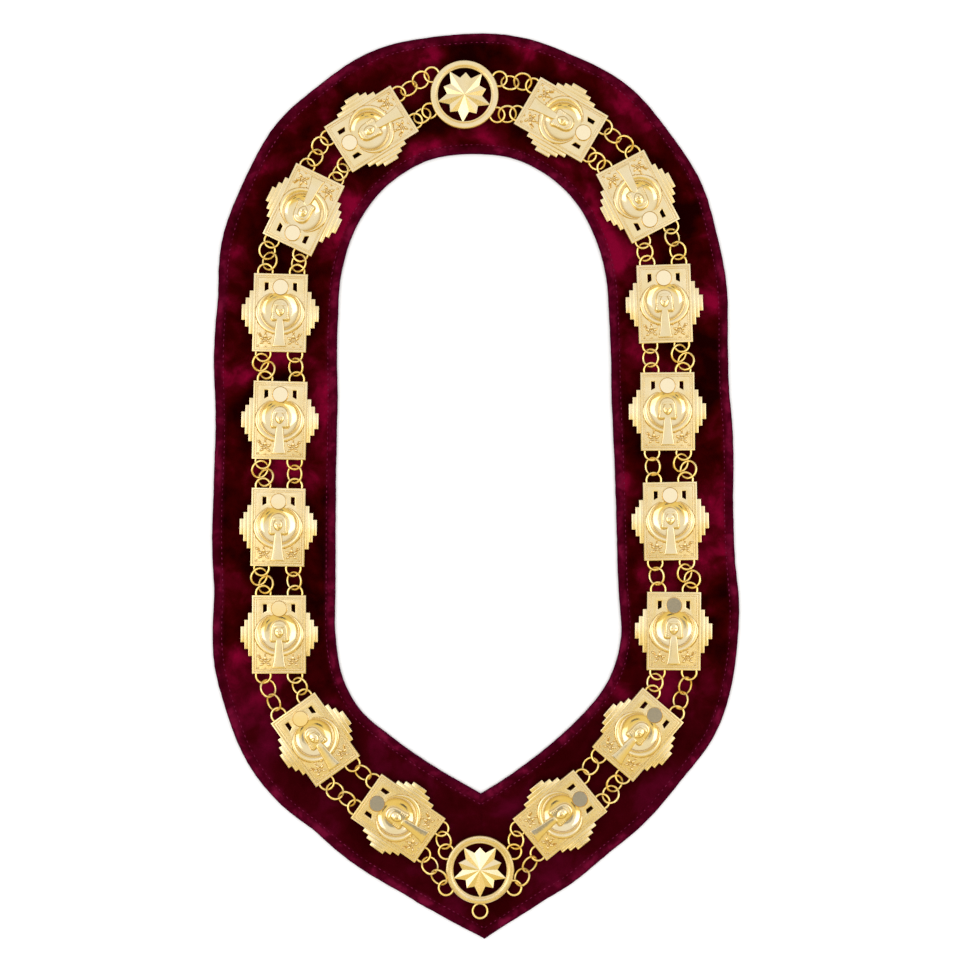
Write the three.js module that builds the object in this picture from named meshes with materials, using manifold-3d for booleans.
// A chain of office, laid flat: a shaped velvet collar under a gold chain of sixteen stepped relief
// plates and two pierced star medallions, which double strands of jump rings join into one loop.
//
// Units are millimetres. The collar lies on z = 0, face up, with its nape toward +Y and the breast
// point toward -Y. "Left" is the -X side, as somebody facing the wearer sees it.
import * as THREE from "three";
import { mergeVertices } from "three/addons/utils/BufferGeometryUtils.js";
import Module from "manifold-3d";

const wasm = await Module();
wasm.setup();

// ---- Velvet collar ------------------------------------------------------------------------------
const BAND_WIDTH = 72.4;
const BAND_BIAS = 1.3; // the -X side is cut this much wider, the +X side this much narrower
const BAND_WAVE = 0.6; // the outer hem wanders by this much
const BAND_WAVES = 17; // this many times round the collar
const BREAST_FLARE = 3; // extra width at the breast point
const BREAST_REACH = 95; // which has died away this far from it
const HEM_EDGE = 1.1; // height of the rolled hem's outermost line
const HEM_SHOULDER = [0.7, 2.1];
const HEM_WIDTH = 5.5;
const HEM_TOP = 2.7;
const SEAM_TOP = 1.5;
const SEAM_SLOPE = 2.5; // from the seam up to the field
const FIELD_TOP = 2.1;
const HEM_TUCK = 0.9; // how far the rolled hem overhangs the underside

const ARCH = { x: -0.4, y: 99.5, halfWidth: 81.6, rise: 100, power: 2.2, step: 15 };
const NECK_TIP = [4, -185];
const NECK_RIGHT = [
  [26, -170.8], [50.5, -151.5], [70, -132], [82, -114.5], [88, -92], [86.5, -58], [84.8, 0],
  [82.8, 50],
];
const NECK_LEFT = [
  [-82.2, 50], [-83, 0], [-83.4, -58], [-83.3, -90], [-79.5, -113], [-69, -134],
  [-47.5, -152.5], [-21, -170.5],
];
const STATIONS_PER_SPAN = 2;

// ---- Wire rings ---------------------------------------------------------------------------------
const WIRE = 1.3;
const RING_RADIUS = 5.2; // to the middle of the wire
const LUG_RADIUS = 4.4;
const RING_STEPS = 10;
const LUG_STEPS = 10;
const WIRE_SIDES = 4;
const LUG_LEVEL = 6.1; // height of the lugs' plane: loose rings lean under and over it

// ---- Plates -------------------------------------------------------------------------------------
const PLATE_HALF_WIDTH = 16.2;
const PLATE_HALF_LENGTH = 23.5;
const WING_REACH = 2.3;
const WING_HALF_HEIGHTS = [13, 8.75, 4.75];
const METAL_BACK = 3.6;
const GROUND_TOP = 6.9;
const BORDER_WIDTH = 2.4;
const BORDER_TOP = 7.5;
const ROOT = 0.5; // relief starts this far inside the metal that it stands on
const LUG_SPREAD = 9.5; // lugs sit this far to either side of the plate's long axis
const LUG_STANDOFF = 1.2; // and this far beyond its end
const WINDOW = { x: 8.6, y: 15.4, width: 2.7, height: 5.4, slant: 1.2 };
const SUN = { y: 15.3, radius: 4.6, top: 8.1, sides: 8 };
const DISH = { y: 1.7, radius: 10.6, depth: 1.1, sides: 12 };
const CRESCENT = {
  y: -0.1, halfWidth: 15, halfHeight: 13.2, top: 7.9, // outside
  hollowY: 1.7, hollowRadius: 11.2, // inside
  from: -244, to: 64, steps: 8, // horn to horn, in degrees
};
const FACE = { y: 1.6, halfWidth: 3, halfHeight: 4, relief: 2.2, level: 6.9 };
const BUST_TOP = 7.7;
const BUST_HALF = [[4.6, -21.4], [2.4, -8], [5.8, -5.6], [3.6, 7]]; // plinth, lappet, crown
const LEAF_TOP = 7.9;
const LEAF_FAN = [[7.4, -20.6], [13, -18.4], [12.4, -13.2], [9.6, -15.4], [6.6, -12.6]];

// ---- Medallions ---------------------------------------------------------------------------------
const MEDAL_RADIUS = 20.5;
const MEDAL_RIM = 4.6;
const MEDAL_TOP = 7.6;
const MEDAL_SIDES = 20;
const MEDAL_EASE = 1; // how far the rim's upper edges slope
const STAR_CORNERS = 20;
const STAR_NOTCH = 0.8; // the valleys between the points are this much lower
const STAR = { long: 16.6, short: 13.4, valley: 10.5, back: 4.2, edge: 5.6, apex: 8.2 };
const MEDAL_LUG_REACH = 23;
const MEDAL_LUG_ANGLE = 28;
const JEWEL_LUG_REACH = 24.6;

// ---- How the chain lies -------------------------------------------------------------------------
// Plates run from nape to breast: centre x, centre y, heading of the run in degrees. The two plates
// next to the top medallion have their sun end forward along the run, the rest have it behind.
const TURNED_PLATES = 2;
const LEFT_PLATES = [
  [-61.5, 213.5, 212], [-102, 165.2, 244.5], [-116.2, 103.5, 268.5], [-116.4, 39.2, 268.5],
  [-117.4, -24.8, 269], [-116.8, -89, 270], [-95, -152, 305.5], [-45.5, -199, 325],
];
const RIGHT_PLATES = [
  [52, 219, 330], [98, 173, 297.5], [114, 109, 272], [115.8, 44.5, 270.5],
  [117.5, -21.2, 271], [119.5, -87, 269.5], [98, -149, 229.5], [51.4, -197.2, 219],
];
const MEDAL_PLACES = [
  { name: "medallion_top", x: -5.8, y: 234.2, turn: -3.5, nape: 1 },
  { name: "medallion_bottom", x: 3.5, y: -230, turn: 0, nape: -1 },
];

// A loose ring leans more, the tauter its strand is.
const SLACK_SPAN = 14;
const SLACK_LEAN = 33;
const TAUT_SPAN = 16.4;
const TAUT_LEAN = 39;

// How two loose rings settle between lugs that are `span` apart: half their pitch along and across
// the strand, how far both lean and dip (degrees), and how high they ride on the lugs.
const PAIR_RESTS = [
  { span: 14.3, along: 2.45, across: 2, lean: 24, dip: 15, rise: -0.3 },
  { span: 16, along: 2.75, across: 2.4, lean: 26, dip: 13, rise: -0.1 },
  { span: 18, along: 3.6, across: 2.2, lean: 25, dip: 11, rise: 0 },
  { span: 20, along: 4.4, across: 1.5, lean: 31, dip: 4, rise: 0.2 },
  { span: 22, along: 4.6, across: 0.9, lean: 31, dip: 2, rise: 0.3 },
  { span: 24, along: 4.75, across: 0.4, lean: 36, dip: -4, rise: 0.6 },
  { span: 25.4, along: 4.75, across: 0.1, lean: 39, dip: -7, rise: 0.5 },
];

// The laid collar is moved by this to stand centred on the origin.
const LAID_OFFSET = new THREE.Vector3(-0.9, 0.35, 0);

const radians = THREE.MathUtils.degToRad;
const lerp = THREE.MathUtils.lerp;

// ---- Solids -------------------------------------------------------------------------------------
function solidFrom(geometry) {
  const bare = geometry.clone();
  bare.deleteAttribute("normal");
  bare.deleteAttribute("uv");
  const merged = mergeVertices(bare, 1e-4);
  const mesh = new wasm.Mesh({
    numProp: 3,
    vertProperties: new Float32Array(merged.attributes.position.array),
    triVerts: new Uint32Array(merged.index.array),
  });
  return new wasm.Manifold(mesh);
}

function joined(geometries) {
  return geometries.map(solidFrom).reduce((sum, solid) => sum.add(solid));
}

function geometryOf(solid) {
  const mesh = solid.getMesh();
  const geometry = new THREE.BufferGeometry();
  geometry.setAttribute("position", new THREE.BufferAttribute(mesh.vertProperties, 3));
  geometry.setIndex(new THREE.BufferAttribute(mesh.triVerts, 1));
  return geometry;
}

function prism(points, bottom, top) {
  const shape = new THREE.Shape(points.map(([x, y]) => new THREE.Vector2(x, y)));
  const options = { depth: top - bottom, bevelEnabled: false };
  return new THREE.ExtrudeGeometry(shape, options).translate(0, 0, bottom);
}

function mirroredOutline(rightHalf) {
  const leftHalf = rightHalf.map(([x, y]) => [-x, y]).reverse();
  return [...rightHalf, ...leftHalf];
}

function piece(name, geometry, material) {
  const mesh = new THREE.Mesh(geometry, material.clone());
  mesh.name = name;
  return mesh;
}

// ---- Velvet collar ------------------------------------------------------------------------------
function archPoints() {
  const points = [];
  const swell = 2 / ARCH.power;
  for (let angle = 0; angle <= 180; angle += ARCH.step) {
    const across = Math.cos(radians(angle));
    const up = Math.sin(radians(angle));
    const x = ARCH.x + Math.sign(across) * ARCH.halfWidth * Math.abs(across) ** swell;
    points.push([x, ARCH.y + ARCH.rise * Math.abs(up) ** swell]);
  }
  return points;
}

// The neck edge starts and ends at the breast point, where the band is mitred.
function neckEdge() {
  const corners = [NECK_TIP, ...NECK_RIGHT, ...archPoints(), ...NECK_LEFT, NECK_TIP];
  const knots = corners.map(([x, y]) => new THREE.Vector3(x, y, 0));
  const curve = new THREE.CatmullRomCurve3(knots, false, "centripetal");
  return curve.getPoints((knots.length - 1) * STATIONS_PER_SPAN);
}

function outwardNormal(before, after) {
  const run = after.clone().sub(before).normalize();
  return new THREE.Vector3(run.y, -run.x, 0);
}

// Each station of the band: a point of the neck edge and the point of the outer edge across it.
function bandStations() {
  const edge = neckEdge();
  const count = edge.length - 1;
  const stations = [];
  for (let i = 0; i < count; i++) {
    const here = edge[i];
    const into = outwardNormal(edge[i === 0 ? count - 1 : i - 1], here);
    const outOf = outwardNormal(here, edge[i + 1]);
    const normal = into.clone().add(outOf).normalize();
    const mitre = 1 / normal.dot(outOf);
    const wave = BAND_WAVE * Math.sin((i * BAND_WAVES * 2 * Math.PI) / count);
    const fromTip = THREE.MathUtils.smoothstep(here.distanceTo(edge[0]), 0, BREAST_REACH);
    const flare = BREAST_FLARE * (1 - fromTip);
    const width = (BAND_WIDTH - BAND_BIAS * normal.x + wave + flare) * mitre;
    stations.push({ neck: here, outer: here.clone().addScaledVector(normal, width) });
  }
  return stations;
}

// The band's section from neck edge to outer edge: flat underside, rolled hems, a stitched seam
// inside each hem and a flat field between them.
function bandSection() {
  const halfTop = [
    [0, HEM_EDGE], HEM_SHOULDER, [HEM_WIDTH / 2, HEM_TOP], [HEM_WIDTH, SEAM_TOP],
    [HEM_WIDTH + SEAM_SLOPE, FIELD_TOP],
  ];
  const farTop = halfTop.map(([across, z]) => [BAND_WIDTH - across, z]).reverse();
  const underside = [[BAND_WIDTH - HEM_TUCK, 0], [HEM_TUCK, 0]];
  return [...halfTop, ...farTop, ...underside];
}

function velvetCollar() {
  const stations = bandStations();
  const section = bandSection();
  const positions = [];
  for (const { neck, outer } of stations) {
    for (const [across, z] of section) {
      const point = neck.clone().lerp(outer, across / BAND_WIDTH);
      positions.push(point.x, point.y, z);
    }
  }
  const ring = section.length;
  const indices = [];
  for (let i = 0; i < stations.length; i++) {
    const next = (i + 1) % stations.length;
    for (let j = 0; j < ring; j++) {
      const k = (j + 1) % ring;
      indices.push(i * ring + j, i * ring + k, next * ring + j);
      indices.push(i * ring + k, next * ring + k, next * ring + j);
    }
  }
  const geometry = new THREE.BufferGeometry();
  geometry.setAttribute("position", new THREE.Float32BufferAttribute(positions, 3));
  geometry.setIndex(indices);
  return geometry;
}

// ---- Rings and lugs -----------------------------------------------------------------------------
function wireRing(radius, steps) {
  return new THREE.TorusGeometry(radius, WIRE / 2, WIRE_SIDES, steps);
}

function lugAt(x, y) {
  return wireRing(LUG_RADIUS, LUG_STEPS).translate(x, y, LUG_LEVEL);
}

// ---- Plates -------------------------------------------------------------------------------------
function plateOutline() {
  const half = [[PLATE_HALF_WIDTH, -PLATE_HALF_LENGTH]];
  const wings = [];
  WING_HALF_HEIGHTS.forEach((halfHeight, step) => {
    const inner = PLATE_HALF_WIDTH + step * WING_REACH;
    wings.push([inner, -halfHeight], [inner + WING_REACH, -halfHeight]);
  });
  const rising = wings.map(([x, y]) => [x, -y]).reverse();
  half.push(...wings, ...rising, [PLATE_HALF_WIDTH, PLATE_HALF_LENGTH]);
  return mirroredOutline(half);
}

function plateBorder() {
  const shape = new THREE.Shape();
  shape.moveTo(-PLATE_HALF_WIDTH, -PLATE_HALF_LENGTH);
  shape.lineTo(PLATE_HALF_WIDTH, -PLATE_HALF_LENGTH);
  shape.lineTo(PLATE_HALF_WIDTH, PLATE_HALF_LENGTH);
  shape.lineTo(-PLATE_HALF_WIDTH, PLATE_HALF_LENGTH);
  shape.closePath();
  const x = PLATE_HALF_WIDTH - BORDER_WIDTH;
  const y = PLATE_HALF_LENGTH - BORDER_WIDTH;
  const opening = new THREE.Path();
  opening.moveTo(-x, -y);
  opening.lineTo(-x, y);
  opening.lineTo(x, y);
  opening.lineTo(x, -y);
  opening.closePath();
  shape.holes.push(opening);
  const bottom = GROUND_TOP - ROOT;
  const options = { depth: BORDER_TOP - bottom, bevelEnabled: false };
  return new THREE.ExtrudeGeometry(shape, options).translate(0, 0, bottom);
}

// The crescent is an oval boss less a round hollow, cut open where its horns end.
function plateCrescent() {
  const boss = [];
  const hollow = [];
  for (let i = 0; i <= CRESCENT.steps; i++) {
    const angle = radians(lerp(CRESCENT.from, CRESCENT.to, i / CRESCENT.steps));
    boss.push([
      CRESCENT.halfWidth * Math.cos(angle),
      CRESCENT.y + CRESCENT.halfHeight * Math.sin(angle),
    ]);
    hollow.push([
      CRESCENT.hollowRadius * Math.cos(angle),
      CRESCENT.hollowY + CRESCENT.hollowRadius * Math.sin(angle),
    ]);
  }
  return prism([...boss, ...hollow.reverse()], GROUND_TOP - ROOT, CRESCENT.top);
}

function plateDish() {
  const rim = BORDER_TOP;
  const floor = GROUND_TOP - DISH.depth;
  const profile = [[0, floor], [DISH.radius, GROUND_TOP], [DISH.radius, rim], [0, rim]];
  const points = profile.map(([r, z]) => new THREE.Vector2(r, z));
  return new THREE.LatheGeometry(points, DISH.sides).rotateX(Math.PI / 2).translate(0, DISH.y, 0);
}

function plateWindow(side) {
  const { x, y, width, height, slant } = WINDOW;
  const outline = [
    [side * (x - width / 2), y - height / 2 + slant],
    [side * (x + width / 2), y - height / 2],
    [side * (x + width / 2), y + height / 2],
    [side * (x - width / 2), y + height / 2],
  ];
  return prism(side > 0 ? outline : outline.reverse(), 0, BORDER_TOP);
}

function plateBust() {
  const face = new THREE.SphereGeometry(1, 6, 3)
    .rotateX(Math.PI / 2)
    .scale(FACE.halfWidth, FACE.halfHeight, FACE.relief)
    .translate(0, FACE.y, FACE.level);
  return [prism(mirroredOutline(BUST_HALF), METAL_BACK + ROOT, BUST_TOP), face];
}

function plateLeaves() {
  const right = prism(LEAF_FAN, METAL_BACK + ROOT, LEAF_TOP);
  const mirrored = LEAF_FAN.map(([x, y]) => [-x, y]).reverse();
  return [right, prism(mirrored, METAL_BACK + ROOT, LEAF_TOP)];
}

function platePoints() {
  const end = PLATE_HALF_LENGTH + LUG_STANDOFF;
  return [[LUG_SPREAD, end], [-LUG_SPREAD, end], [LUG_SPREAD, -end], [-LUG_SPREAD, -end]];
}

function reliefPlate() {
  const slab = joined([prism(plateOutline(), METAL_BACK, GROUND_TOP), plateBorder()]);
  const windows = solidFrom(plateWindow(1)).add(solidFrom(plateWindow(-1)));
  const ground = slab.subtract(solidFrom(plateDish())).subtract(windows);
  const discBack = GROUND_TOP - ROOT;
  const disc = new THREE.CylinderGeometry(SUN.radius, SUN.radius, SUN.top - discBack, SUN.sides)
    .rotateX(Math.PI / 2)
    .translate(0, SUN.y, (SUN.top + discBack) / 2);
  const relief = joined([
    plateCrescent(),
    disc,
    ...plateBust(),
    ...plateLeaves(),
    ...platePoints().map(([x, y]) => lugAt(x, y)),
  ]);
  return geometryOf(ground.add(relief));
}

// ---- Medallions ---------------------------------------------------------------------------------
function medalRim() {
  const inner = MEDAL_RADIUS - MEDAL_RIM;
  const profile = [
    [inner, METAL_BACK],
    [MEDAL_RADIUS, METAL_BACK],
    [MEDAL_RADIUS, GROUND_TOP],
    [MEDAL_RADIUS - MEDAL_EASE, MEDAL_TOP],
    [inner + MEDAL_EASE, MEDAL_TOP],
    [inner, GROUND_TOP],
    [inner, METAL_BACK],
  ];
  const points = profile.map(([r, z]) => new THREE.Vector2(r, z));
  return new THREE.LatheGeometry(points, MEDAL_SIDES).rotateX(Math.PI / 2);
}

// Ten points, long and short in turn, with a ridge from the apex to every tip.
function medalStar() {
  const corners = [];
  for (let i = 0; i < STAR_CORNERS; i++) {
    const tip = i % 4 === 0 ? STAR.long : STAR.short;
    const radius = i % 2 === 0 ? tip : STAR.valley;
    const angle = radians(-90 + (i * 360) / STAR_CORNERS);
    const height = i % 2 === 0 ? STAR.edge : STAR.edge - STAR_NOTCH;
    corners.push([radius * Math.cos(angle), radius * Math.sin(angle), height]);
  }
  const positions = [0, 0, STAR.back, 0, 0, STAR.apex];
  for (const [x, y, z] of corners) positions.push(x, y, STAR.back, x, y, z);
  const indices = [];
  for (let i = 0; i < corners.length; i++) {
    const low = 2 + 2 * i;
    const nextLow = 2 + 2 * ((i + 1) % corners.length);
    indices.push(0, nextLow, low, 1, low + 1, nextLow + 1);
    indices.push(low, nextLow, low + 1, nextLow, nextLow + 1, low + 1);
  }
  const geometry = new THREE.BufferGeometry();
  geometry.setAttribute("position", new THREE.Float32BufferAttribute(positions, 3));
  geometry.setIndex(indices);
  return geometry;
}

function medalPoint(side, up) {
  const angle = radians(MEDAL_LUG_ANGLE);
  return [side * MEDAL_LUG_REACH * Math.cos(angle), up * MEDAL_LUG_REACH * Math.sin(angle)];
}

function medallion(carriesJewel) {
  const places = [medalPoint(1, 1), medalPoint(1, -1), medalPoint(-1, 1), medalPoint(-1, -1)];
  if (carriesJewel) places.push([0, -JEWEL_LUG_REACH]);
  const lugs = places.map(([x, y]) => lugAt(x, y));
  return geometryOf(joined([medalRim(), medalStar(), ...lugs]));
}

// ---- The loop -----------------------------------------------------------------------------------
// Lane +1 is the strand nearer the collar's outer edge, lane -1 the one nearer the neck. Each stop
// of a side gives the lugs where a strand arrives and where the next one leaves.
function medalStop({ x, y, turn, nape }, side) {
  const lug = (lane) => {
    const [px, py] = medalPoint(side, lane * nape);
    const point = new THREE.Vector3(px, py, 0).applyAxisAngle(new THREE.Vector3(0, 0, 1), radians(turn));
    return point.add(new THREE.Vector3(x, y, LUG_LEVEL));
  };
  return { arrive: lug, leave: lug };
}

function plateStop([x, y, heading], side) {
  const run = new THREE.Vector3(Math.cos(radians(heading)), Math.sin(radians(heading)), 0);
  const outward = new THREE.Vector3(-side * run.y, side * run.x, 0);
  const reach = PLATE_HALF_LENGTH + LUG_STANDOFF;
  const lug = (end, lane) =>
    new THREE.Vector3(x, y, LUG_LEVEL)
      .addScaledVector(run, end * reach)
      .addScaledVector(outward, lane * LUG_SPREAD);
  return { arrive: (lane) => lug(-1, lane), leave: (lane) => lug(1, lane) };
}

function place(mesh, from, to) {
  mesh.position.copy(from).lerp(to, 0.5);
  return Math.atan2(to.y - from.y, to.x - from.x);
}

function innerRing(name, from, to, material) {
  const mesh = piece(name, wireRing(RING_RADIUS, RING_STEPS), material);
  const yaw = place(mesh, from, to);
  const pull = THREE.MathUtils.smoothstep(from.distanceTo(to), SLACK_SPAN, TAUT_SPAN);
  mesh.rotation.set(radians(lerp(SLACK_LEAN, TAUT_LEAN, pull)), 0, yaw, "ZYX");
  return mesh;
}

function pairRest(span) {
  const last = PAIR_RESTS.length - 1;
  const at = THREE.MathUtils.clamp(span, PAIR_RESTS[0].span, PAIR_RESTS[last].span);
  const i = Math.max(1, PAIR_RESTS.findIndex((rest) => rest.span >= at));
  const [a, b] = [PAIR_RESTS[i - 1], PAIR_RESTS[i]];
  const t = (at - a.span) / (b.span - a.span);
  const rest = {};
  for (const key of Object.keys(a)) rest[key] = lerp(a[key], b[key], t);
  return rest;
}

function outerRings(name, from, to, material) {
  const { along, across, lean, dip, rise } = pairRest(from.distanceTo(to));
  const rings = [-1, 1].map((end) => {
    const pose = new THREE.Object3D();
    pose.position.set(end * along, end * across, rise);
    pose.rotation.set(radians(end * lean), radians(-end * dip), 0, "ZYX");
    pose.updateMatrix();
    return wireRing(RING_RADIUS, RING_STEPS).applyMatrix4(pose.matrix);
  });
  const mesh = piece(name, geometryOf(joined(rings)), material);
  mesh.rotation.z = place(mesh, from, to);
  return mesh;
}

// ---- Assembly -----------------------------------------------------------------------------------
const velvet = new THREE.MeshStandardMaterial({ color: 0x4a0616, roughness: 0.95, metalness: 0 });
const gold = new THREE.MeshStandardMaterial({ color: 0xd9b354, roughness: 0.25, metalness: 1 });

function chainSide(word, side, plates) {
  const group = new THREE.Group();
  const shape = reliefPlate();
  plates.forEach(([x, y, heading], i) => {
    const mesh = piece(`plate_${word}_${i + 1}`, shape, gold);
    const sunHeading = i < TURNED_PLATES ? heading : heading + 180;
    mesh.position.set(x, y, 0);
    mesh.rotation.z = radians(sunHeading - 90);
    group.add(mesh);
  });
  const stops = [
    medalStop(MEDAL_PLACES[0], side),
    ...plates.map((plate) => plateStop(plate, side)),
    medalStop(MEDAL_PLACES[1], side),
  ];
  for (let gap = 0; gap + 1 < stops.length; gap++) {
    const [from, to] = [stops[gap], stops[gap + 1]];
    group.add(innerRing(`inner_ring_${word}_${gap}`, from.leave(-1), to.arrive(-1), gold));
    group.add(outerRings(`outer_rings_${word}_${gap}`, from.leave(1), to.arrive(1), gold));
  }
  return group;
}

const laid = new THREE.Group();
laid.position.copy(LAID_OFFSET);
laid.add(piece("velvet_collar", velvetCollar(), velvet));
for (const medal of MEDAL_PLACES) {
  const mesh = piece(medal.name, medallion(medal.name === "medallion_bottom"), gold);
  mesh.position.set(medal.x, medal.y, 0);
  mesh.rotation.z = radians(medal.turn);
  laid.add(mesh);
}
laid.add(chainSide("left", -1, LEFT_PLATES));
laid.add(chainSide("right", 1, RIGHT_PLATES));

const collar = new THREE.Group();
collar.name = "chain_of_office";
collar.add(laid);

export default collar;
